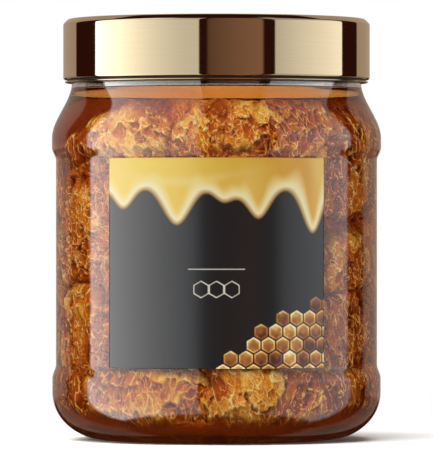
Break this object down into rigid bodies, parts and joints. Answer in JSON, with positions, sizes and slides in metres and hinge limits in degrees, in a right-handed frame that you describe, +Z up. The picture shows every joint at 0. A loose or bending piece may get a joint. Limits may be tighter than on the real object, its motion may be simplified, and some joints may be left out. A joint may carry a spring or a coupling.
{
  "type": "jar of honeycomb in honey",
  "caption": "Clear round jar with a stepped waist, filled with honeycomb in honey, under a gold metal screw lid with a dark inner cap, and a dark wrap label on its front.",
  "frame": {"origin": "centre of the jar's base, on the surface it stands on", "axes": "+Z up along the jar's axis; the label faces -Y; +X to the right seen from the label"},
  "size_m": [0.1138, 0.1138, 0.1453],
  "materials": {
    "clear_jar": "clear and glossy",
    "honey": "clear amber liquid",
    "beeswax": "soft golden wax, wet with honey",
    "gold_metal": "satin pale gold, anodised",
    "dark_cap": "dark brown moulded plastic",
    "label": "satin printed film"
  },
  "bodies": {
    "root": {"jar": "clear_jar", "honey": "honey", "lid_shell": "gold_metal", "lid_inner": "dark_cap", "label": "label"}
  },
  "joints": []
}
